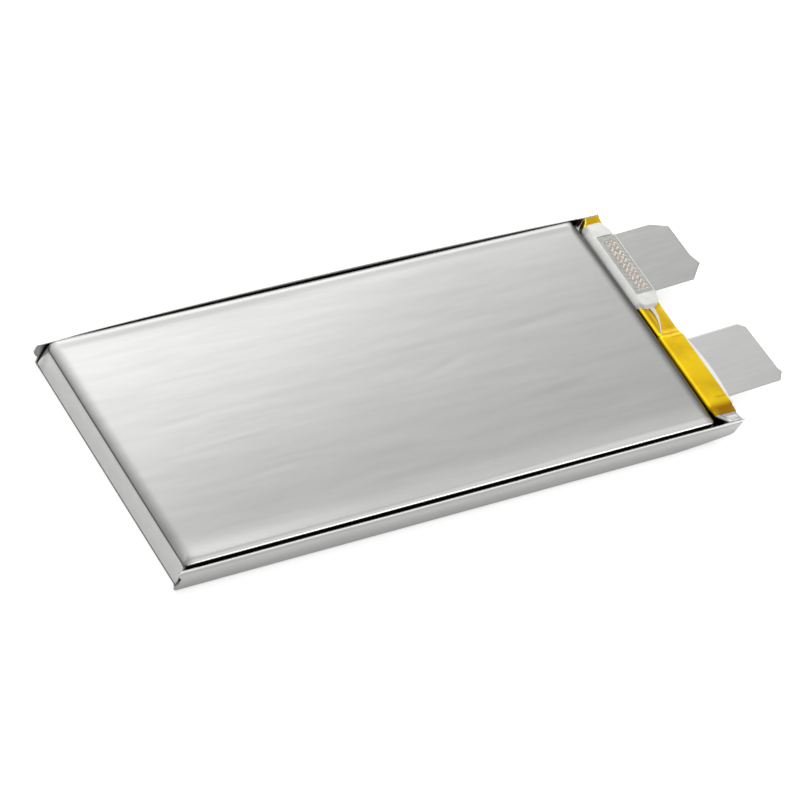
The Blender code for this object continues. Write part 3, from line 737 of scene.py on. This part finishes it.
def seal_rows(start, end, low, high, offset, upper):
    """Rows of points along Y for every station along the seal."""
    ss = spans((start, BEND_1, 6)) if start < BEND_1 else [start]
    ss += spans((max(start, BEND_1), RISE, 8))[1:] + spans((RISE, BEND_2, 6))[1:]
    ss += spans((BEND_2, end, max(2, int((end - BEND_2) / 0.4))))[1:]
    ys = spans((low, high, int((high - low) / ROW_PITCH)))
    return [[terrace_point(s, y, offset, upper) for y in ys] for s in ss]


def make_top_seal():
    half = TERRACE_HALF
    bm = bmesh.new()
    grid(bm, seal_rows(SEAL_INNER, SEAL_LENGTH, -half, half, FILM, False), flip=True)
    add_piece("top_seal_lower_film", bm, LAMINATE, ("pouch_laminate",),
              thickness=FILM, rim=0.04)
    bm = bmesh.new()
    grid(bm, seal_rows(SEAL_INNER, SEAL_LENGTH, -half, half, SEAL, True), flip=True)
    # painted shade on the seal's rising face, in the gap between the pocket and the terrace
    paint(bm, "gap", lambda x, y, z: smooth(6.9, 6.2, z) * smooth(2.6, 3.4, z))
    add_piece("top_seal_upper_film", bm, LAMINATE, ("pouch_laminate",),
              thickness=FILM, rim=0.04)


def tape_shade(x, y, _z):
    """Painted shade on the amber tape: behind its ridge, off the tabs and at its near end."""
    hollow = (1.0 - over_tab(y)) * smooth(164.0, 165.6, x) * smooth(169.6, 168.2, x)
    near_end = smooth(-28.6, -30.4, y) * 0.75
    crease = 0.8 * math.exp(-((y + 30.6) / 0.25) ** 2) * smooth(163.5, 166.5, x)
    crease += 0.5 * math.exp(-((y + 27.4) / 0.16) ** 2) * smooth(165.5, 166.8, x)
    crease += 0.4 * math.exp(-((y + 6.6) / 0.18) ** 2) * smooth(165.0, 166.5, x)
    return 0.35 * hollow + near_end + crease


TAPE_NEAR, TAPE_FAR = -32.4, 35.3      # y reach of the amber tape
TAPE_DROP = 1.6                        # reach down the seal's inner side
TAPE_OFFSET = SEAL + 0.02
TAPE_RETURN = 3.0                      # reach back under the terrace, beside the tabs
TAPE_INSET = 0.02                      # its edge turns down just inside the terrace's edge
TAPE_WRAP = 0.42                       # how far the turned edge stands out


def make_terrace_tape():
    """Amber tape over the seal, stuck down its inner side and back under its outer edge."""
    start = RISE - TAPE_DROP
    top = TAPE_OFFSET + TAPE
    rows = seal_rows(start, SEAL_LENGTH - TAPE_INSET, TAPE_NEAR, TAPE_FAR, top, True)
    bm = bmesh.new()
    verts = grid(bm, rows, flip=True)
    edge = verts[-1]
    centre_z = TERRACE_UNDERSIDE + SEAL / 2
    reach = SEAL / 2 + TAPE + 0.03
    steps = 6
    levels = []
    for step in range(1, steps + 1):
        angle = math.pi * step / steps
        levels.append((math.sin(angle) * TAPE_WRAP, math.cos(angle)))
    levels += [(-TAPE_RETURN * step / 5, -1.0) for step in range(1, 6)]
    rows_down = [edge]
    for out, height in levels:
        row = []
        for vert in edge:
            y = vert.co.y / MM
            droop = terrace_sag(SEAL_LENGTH, y) - wing_lift(y)
            x = TERRACE_END - TAPE_INSET + out
            row.append(bm.verts.new(to_world((x, y, centre_z - droop + reach * height))))
        rows_down.append(row)
    for first, second in zip(rows_down, rows_down[1:]):
        for index in range(len(edge) - 1):
            middle = (edge[index].co.y + edge[index + 1].co.y) / 2 / MM
            if abs(abs(middle) - TAB_OFFSET) < SEAL_FLAT + SEAL_RAMP:
                continue
            bm.faces.new((second[index], second[index + 1], first[index + 1], first[index]))
    loose = [vert for vert in bm.verts if not vert.link_faces]
    bmesh.ops.delete(bm, geom=loose, context="VERTS")
    bmesh.ops.recalc_face_normals(bm, faces=bm.faces[:])
    # painted shade in the amber tape's trough, creases and near end
    paint(bm, "painted_tape_shade", tape_shade)
    # painted shade low on the tape's inner side, in the gap beside the pocket
    paint(bm, "gap", lambda x, y, z: smooth(6.95, 6.6, z) * smooth(164.5, 164.0, x))
    add_piece("terrace_tape_film", bm, AMBER, ("terrace_tape",),
              thickness=TAPE * 0.8)


# ---------------------------------------------------------------- tab strips
def outline_at(points, y):
    """x of an outline given as (y, x) points in rising y."""
    for (y_a, x_a), (y_b, x_b) in zip(points, points[1:]):
        if y <= y_b:
            return mix(x_a, x_b, (y - y_a) / (y_b - y_a))
    return points[-1][1]


def tilted(x, z):
    """Beyond the terrace the strips rise by a few degrees."""
    past = x - TILT_START
    return z + TILT * (past + math.hypot(past, TILT_ROUND)) / 2


FINE_PITCH = 0.2                       # spacing of a strip's points along its first stretch


def strip_rows(start, outline, level, relief, fine_until, y_pitch, inner=()):
    """Rows across a strip, from its (x, z) places inside the seal out to its cut outline."""
    xs_fine = spans((start, fine_until, int((fine_until - start) / FINE_PITCH)))
    breaks = sorted({y for y, _ in outline})
    ys = breaks[:1]
    for first, second in zip(breaks, breaks[1:]):
        ys += spans((first, second, max(1, round((second - first) / y_pitch))))[1:]
    shares = spans((0.0, 1.0, 26))[1:]
    rows = [[(x, y, z) for y in ys] for x, z in inner]
    for x in xs_fine:
        rows.append([(x, y, tilted(x, level + relief(x, y))) for y in ys])
    for share in shares:
        row = []
        for y in ys:
            x = mix(fine_until, outline_at(outline, y), share)
            row.append((x, y, tilted(x, level + relief(x, y))))
        rows.append(row)
    return rows


KNURL = (165.1, 168.9, 9.5, 26.5)      # x and y reach of the weld's knurled patch
KNURL_SOFT = 0.2                       # its edges ease in over this distance each way
KNURL_DEPTH = 0.13
KNURL_PITCH = 1.45                     # between rows of dents
ZIGZAG_LENGTH, ZIGZAG_WIDTH = 1.6, 1.1


def in_knurl(x, y):
    x_low, x_high, y_low, y_high = KNURL
    soft = KNURL_SOFT
    return (smooth(x_low - soft, x_low + soft, x) * smooth(x_high + soft, x_high - soft, x)
            * smooth(y_low - soft, y_low + soft, y) * smooth(y_high + soft, y_high - soft, y))


def saw(value):
    """A ridge that rises and falls evenly between 0 and 1."""
    value = value % 1.0
    return 2.0 * min(value, 1.0 - value)


def knurl(x, y):
    """Rows of V shaped dents left by the welding horn."""
    zigzag = ZIGZAG_WIDTH * saw((x - KNURL[0]) / ZIGZAG_LENGTH)
    return saw((y + zigzag) / KNURL_PITCH)


def nickel_relief(x, y):
    soft = 0.03 * ripple(x, y, 31, 9.0, 7.0) * smooth(171.0, 175.0, x)
    return soft - KNURL_DEPTH * in_knurl(x, y) * (1.0 - knurl(x, y))


def make_nickel():
    tip = NICKEL_TIP
    outline = ((TAB_IN, tip - 4.8), (12.3, tip), (15.5, tip - 1.1), (25.9, tip - 1.3),
               (TAB_OUT, tip - 6.2))
    level = NICKEL_LEVEL + 0.195
    rows = strip_rows(NICKEL_START, outline, level, nickel_relief, 170.0, 0.2)
    bm = bmesh.new()
    grid(bm, rows, flip=True)
    paint(bm, "weld", lambda x, y, z: in_knurl(x, y))
    paint(bm, "dent", lambda x, y, z: smooth(0.5, 0.2, knurl(x, y)))
    add_piece("nickel_strip_welded", bm, WELDED, ("nickel_extension",),
              thickness=STRIP, rim=0.04)


def copper_relief(x, y):
    return 0.04 * ripple(x, y, 35, 12.0, 9.0) * smooth(170.0, 174.0, x)


def make_negative_tab():
    """From its weld to the foils, up and out between the seal's films, to its cut tip."""
    tip = COPPER_TIP
    outline = ((-TAB_OUT, tip - 2.0), (-25.6, tip), (-24.2, tip - 0.5), (-9.7, tip - 1.0),
               (-TAB_IN, tip - 2.9))
    level = TERRACE_UNDERSIDE + TAB_TOP
    inner = [seal_path(s, TAB_TOP) for s in
             spans((copper_low.x - FOLD_X - FLOOR_END, 0.0, 4), (0.0, BEND_1, 8),
                   (BEND_1, RISE, 6), (RISE, BEND_2, 6), (BEND_2, BEND_2 + 1.4, 3))]
    rows = strip_rows(165.0, outline, level, copper_relief, 171.0, 0.6, inner)
    bm = bmesh.new()
    grid(bm, rows, flip=True)
    add_piece("negative_strip", bm, COPPER, ("negative_tab",), thickness=STRIP,
              rim=0.04)


# ---------------------------------------------------------------- weld tape
WELD_LOW, WELD_HIGH = 3.7, 33.5        # y reach of the tape over the weld
WELD_HANG = 0.9                        # how far it hangs down the seal's inner side
WELD_OUTER = 169.95                    # its edge toward the tabs
WELD_END_ROUND = 3.4                   # length of its round ends
WELD_LEVEL = NICKEL_LEVEL + 0.245      # its height on the strip


def weld_half_reach(y):
    """How much of its full width the tape still has at y; its ends are round."""
    inset = min(y - WELD_LOW, WELD_HIGH - y)
    if inset >= WELD_END_ROUND:
        return 1.0
    return math.sqrt(max(0.0, 1.0 - ((WELD_END_ROUND - inset) / WELD_END_ROUND) ** 2)) ** 0.8


def weld_tape_point(s, y, inset):
    """Tight on the strip, hanging over the seal's inner edge and puffed at its loose ends."""
    x, y, z = terrace_point(s, y, TAPE_OFFSET + TAPE + 0.05, True)
    on_strip = smooth(7.0, 8.2, y) * smooth(29.0, 27.8, y)
    puff = 0.22 * (1.0 - on_strip) * ripple(x, y, 41, 3.0, 4.0)
    lift = mix(smooth(0.0, 0.9, inset), 1.0, on_strip) * smooth(162.8, 163.6, x)
    dent = 0.08 * in_knurl(x, y) * (1.0 - knurl(x, y))
    return x, y, mix(z, WELD_LEVEL + puff, lift) - dent


def make_weld_tape():
    low = RISE - WELD_HANG
    high = along_seal(WELD_OUTER)
    middle, half = (low + high) / 2, (high - low) / 2
    round_low, round_high = WELD_LOW + WELD_END_ROUND, WELD_HIGH - WELD_END_ROUND
    ys = spans((WELD_LOW + 0.02, round_low, 16), (round_low, round_high, 110),
               (round_high, WELD_HIGH - 0.02, 16))
    shares = spans((-1.0, -0.5, 12), (-0.5, 0.75, 28), (0.75, 1.0, 6))
    bm = bmesh.new()
    rows = []
    for y in ys:
        reach = half * weld_half_reach(y)
        row = []
        for share in shares:
            inset = min(reach * (1.0 - abs(share)), y - WELD_LOW, WELD_HIGH - y)
            row.append(weld_tape_point(middle + reach * share, y, inset))
        rows.append(row)
    grid(bm, rows)

    # clear where it is pressed on the strip
    def milky(x, y, _z):
        clear = smooth(163.75, 164.0, x) * smooth(8.0, 8.4, y) * smooth(28.4, 28.1, y)
        return 1.0 - clear * smooth(169.75, 169.45, x)

    paint(bm, "milky", milky)
    add_piece("weld_tape_film", bm, WHITE_TAPE, ("positive_weld_tape",),
              thickness=0.03)


def make_tape_tail():
    """A curving sliver of the white tape that trails over the amber tape."""
    start, end, swing = (166.4, 4.1), (164.3, -4.9), 0.75
    steps, sides = 24, 8
    puff, core = 0.22, 0.04
    bm = bmesh.new()
    rings = []
    for step in range(steps + 1):
        share = step / steps
        x = mix(start[0], end[0], share) + swing * math.sin(math.pi * share * 1.2)
        y = mix(start[1], end[1], share)
        width = mix(1.0, 0.10, share ** 0.45)
        z = terrace_point(along_seal(x), y, TAPE_OFFSET + TAPE, True)[2] + 0.02
        ring = []
        for side in range(sides):
            angle = 2.0 * math.pi * side / sides
            height = z + puff * (1.0 + math.sin(angle)) * (1 - share) + core * math.sin(angle)
            ring.append(bm.verts.new(to_world((x + width * math.cos(angle), y, height))))
        rings.append(ring)
    for first, second in zip(rings, rings[1:]):
        for side in range(sides):
            after = (side + 1) % sides
            bm.faces.new((first[side], first[after], second[after], second[side]))
    bm.faces.new(rings[0])
    bm.faces.new(rings[-1][::-1])
    bmesh.ops.recalc_face_normals(bm, faces=bm.faces[:])
    paint(bm, "milky", lambda x, y, z: 1.0)
    add_piece("weld_tape_tail", bm, WHITE_TAPE, ("positive_weld_tape",))


def make_film_strip():
    """The sealant film squeezed out beside the negative tab, widest in the middle."""
    low_y, high_y = -30.6, -6.4
    bm = bmesh.new()
    rows = []
    for y in spans((low_y, high_y, 60)):
        share = (y - low_y) / (high_y - low_y)
        reach = 0.2 + 1.75 * math.sin(math.pi * share) ** 0.8
        level = TERRACE_UNDERSIDE + 0.53
        row = []
        for out in spans((-1.4, 0.0, 3), (0.0, 1.0, 7)):
            x = TERRACE_END + (reach * out if out > 0 else out)
            bulge = 0.05 * math.sin(math.pi * clamp(out)) - 0.12 * clamp(out) ** 3
            row.append((x, y, level + bulge))
        rows.append(row)
    grid(bm, rows)
    add_piece("negative_film_strip", bm, SEALANT, ("negative_tab_film_upper",),
              thickness=0.05)


# ---------------------------------------------------------------- stage, camera and light
# places and sizes here are in metres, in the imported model's frame
FLOOR_HEIGHT = -0.0002
FLOOR_GLOW = 0.50
# the sky's brightness by height: a dim horizon under a bright ceiling
SKY = ((0.0, 0.34), (0.18, 0.40), (0.5, 0.74), (0.8, 0.90), (1.0, 1.0))
CAMERA_PLACE = (-0.60958, -0.48276, 0.75507)
CAMERA_ANGLES = (42.371, -18.863, -31.792)
CAMERA_LENS, CAMERA_SENSOR, CAMERA_CLIP = 196.6, 36.0, 0.05
# name, place, target, size, power and turn about the beam
LIGHTS = (
    ("soft_box", (0.22, 0.53, 0.42), (0.22, 0.53, 0.0), (1.10, 0.50), 2.7, 16.0),
    ("far_light", (0.62, 0.84, 0.30), (0.0, 0.0, 0.0), (0.70, 0.12), 0.35, 0.0),
    ("edge_light", (0.50, -0.66, 0.24), (0.0, 0.0, 0.0), (0.45, 0.22), 1.0, 0.0),
)


def make_floor():
    look = Look("pale_floor", 0.0, 0.9)
    look.colour(look.ramp(look.grain((6.0, 6.0, 6.0), 2.0), ((0.3, (0.79, 0.79, 0.79)),
                                                           (0.7, (0.81, 0.81, 0.81)))))
    look.shader.inputs["Emission Color"].default_value = (1.0, 1.0, 1.0, 1.0)
    look.shader.inputs["Emission Strength"].default_value = FLOOR_GLOW
    bm = bmesh.new()
    bmesh.ops.create_grid(bm, x_segments=1, y_segments=1, size=4.0)
    mesh = bpy.data.meshes.new("floor")
    bm.to_mesh(mesh)
    bm.free()
    mesh.materials.append(look.material)
    floor = bpy.data.objects.new("floor", mesh)
    floor.location.z = FLOOR_HEIGHT
    bpy.context.scene.collection.objects.link(floor)


def make_world():
    world = bpy.data.worlds.new("studio")
    bpy.context.scene.world = world
    world.use_nodes = True
    tree = world.node_tree
    shade = tree.nodes["Background"]
    place = tree.nodes.new("ShaderNodeTexCoord")
    split = tree.nodes.new("ShaderNodeSeparateXYZ")
    ramp = tree.nodes.new("ShaderNodeValToRGB")
    while len(ramp.color_ramp.elements) < len(SKY):
        ramp.color_ramp.elements.new(0.5)
    for element, (position, level) in zip(ramp.color_ramp.elements, SKY):
        element.position = position
        element.color = (level, level, level * 0.99, 1.0)
    tree.links.new(place.outputs["Generated"], split.inputs["Vector"])
    tree.links.new(split.outputs["Z"], ramp.inputs["Fac"])
    tree.links.new(ramp.outputs["Color"], shade.inputs["Color"])
    shade.inputs["Strength"].default_value = 1.0


def add_light(name, place, target, size, power, turn):
    light = bpy.data.lights.new(name, "AREA")
    light.shape = "RECTANGLE"
    light.size, light.size_y = size
    light.energy = power
    lamp = bpy.data.objects.new(name, light)
    lamp.location = place
    lamp.visible_camera = False
    aim = (Vector(target) - Vector(place)).to_track_quat("-Z", "Y")
    lamp.rotation_euler = (aim @ Quaternion((0.0, 0.0, 1.0), math.radians(turn))).to_euler()
    bpy.context.scene.collection.objects.link(lamp)


def make_camera():
    data = bpy.data.cameras.new("camera")
    data.sensor_width = CAMERA_SENSOR
    data.lens = CAMERA_LENS
    data.clip_start = CAMERA_CLIP
    camera = bpy.data.objects.new("camera", data)
    camera.location = CAMERA_PLACE
    camera.rotation_euler = [math.radians(angle) for angle in CAMERA_ANGLES]
    bpy.context.scene.collection.objects.link(camera)
    bpy.context.scene.camera = camera
    bpy.context.scene.view_settings.view_transform = "Standard"


make_camera()
make_world()
make_floor()
for settings in LIGHTS:
    add_light(*settings)

make_pocket()
make_base()
make_side_seal("side_seal_near", -1)
make_side_seal("side_seal_far", 1)
make_top_seal()
make_terrace_tape()
make_nickel()
make_negative_tab()
make_weld_tape()
make_tape_tail()
make_film_strip()

# ---------------------------------------------------------------- carried-over CAD nodes
NODE_LOOKS = {
    "positive_tab": ALUMINIUM,
    "positive_tab_film_lower": SEALANT,
    "positive_tab_film_upper": SEALANT,
    "negative_tab_film_lower": SEALANT,
    "positive_foil_tape": AMBER,
    "negative_foil_tape": AMBER,
    "separator": SEPARATOR,
}
FAMILY_LOOKS = (("anode_", ANODE), ("cathode_", CATHODE), ("stack_tape_", GREEN_TAPE))


def set_look(part, look):
    part.data.materials.clear()
    part.data.materials.append(look)


for node, look in NODE_LOOKS.items():
    set_look(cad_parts[node], look)
for name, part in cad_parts.items():
    for start, look in FAMILY_LOOKS:
        if name.startswith(start):
            set_look(part, look)
